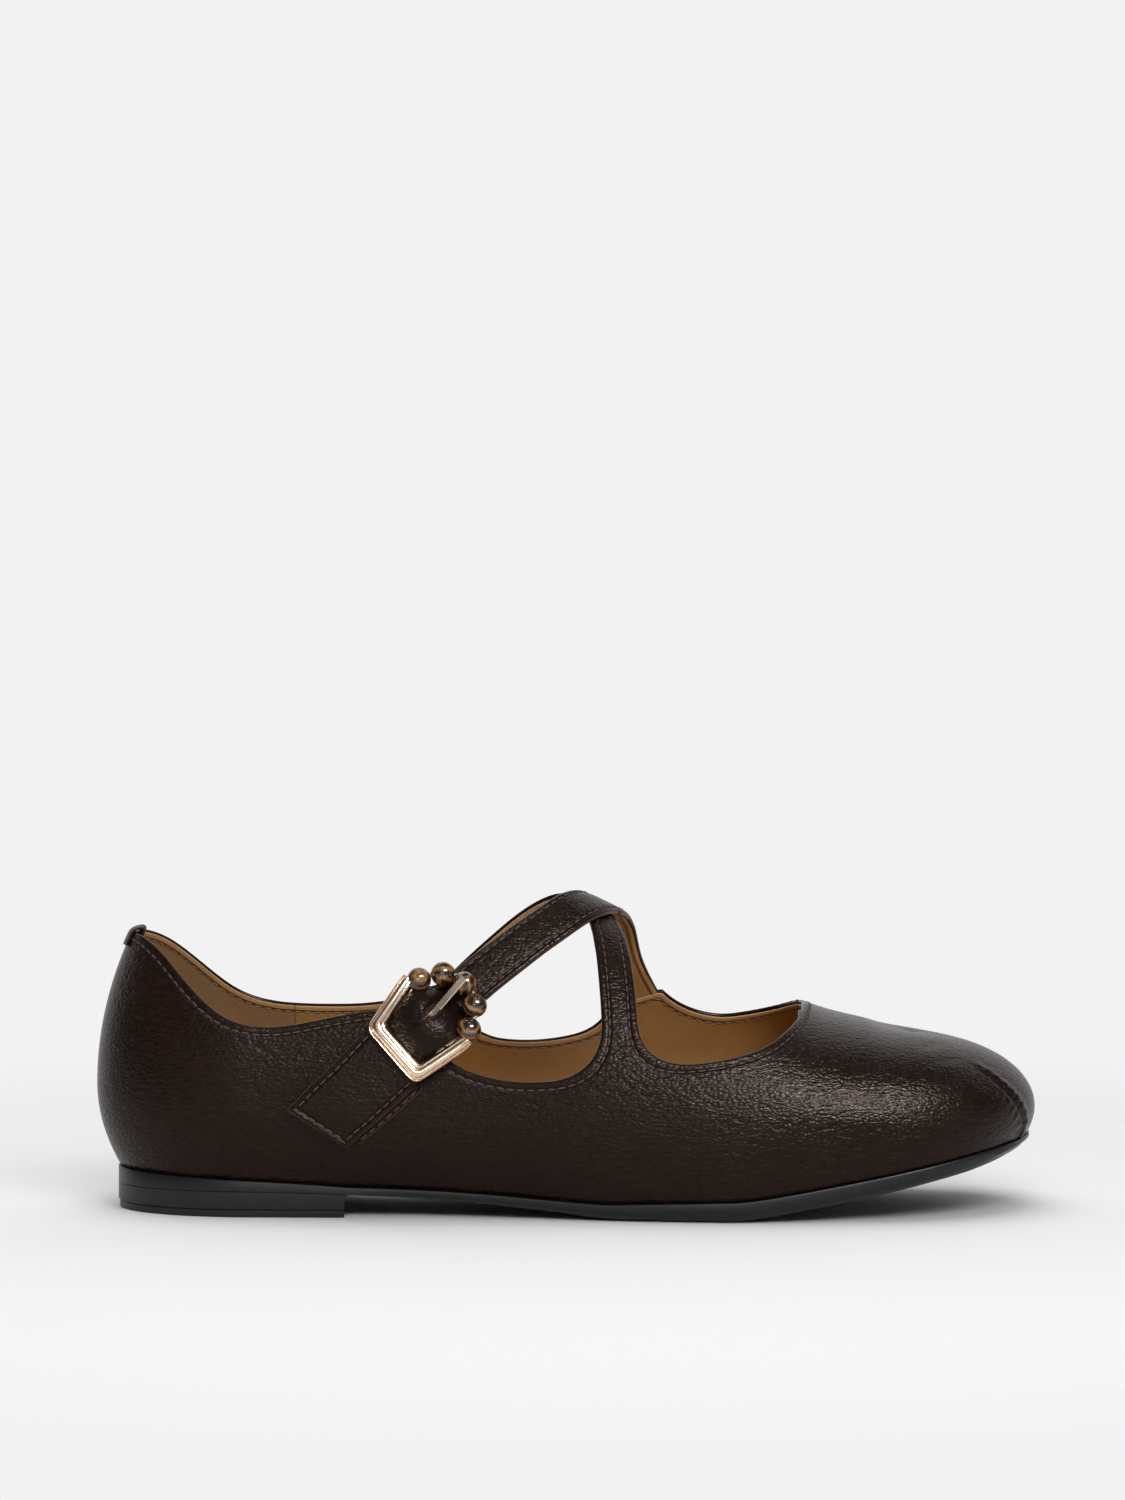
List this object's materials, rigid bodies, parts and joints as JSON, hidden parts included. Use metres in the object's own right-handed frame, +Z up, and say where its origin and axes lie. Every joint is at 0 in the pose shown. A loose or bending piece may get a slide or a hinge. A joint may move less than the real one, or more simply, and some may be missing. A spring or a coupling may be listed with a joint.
{
  "type": "mary jane shoe",
  "caption": "Flat leather shoe for the right foot with straps crossed over the instep, a buckle on the outer side and a low heel.",
  "frame": {"origin": "on the floor, under the middle of the shoe's box", "axes": "+X from heel to toe, +Y to the inner side of the foot, +Z up"},
  "size_m": [0.25, 0.0824, 0.0844],
  "materials": {
    "sole_rubber": "satin black",
    "upper_leather": "grained dark brown, satin",
    "lining_leather": "matt tan",
    "gold_metal": "polished pale rose gold",
    "bead_stone": "polished banded brown stone"
  },
  "bodies": {
    "root": {"outsole": "sole_rubber", "heel": "sole_rubber", "top_lift": "sole_rubber", "insole": "lining_leather", "upper": "upper_leather", "heel_tab": "upper_leather", "buckle_strap": "upper_leather", "buckle_chape": "upper_leather", "buckle_frame": "gold_metal", "prong": "gold_metal", "bead_1": "bead_stone", "bead_2": "bead_stone", "bead_3": "bead_stone", "bead_4": "bead_stone", "bead_5": "bead_stone"}
  },
  "joints": []
}
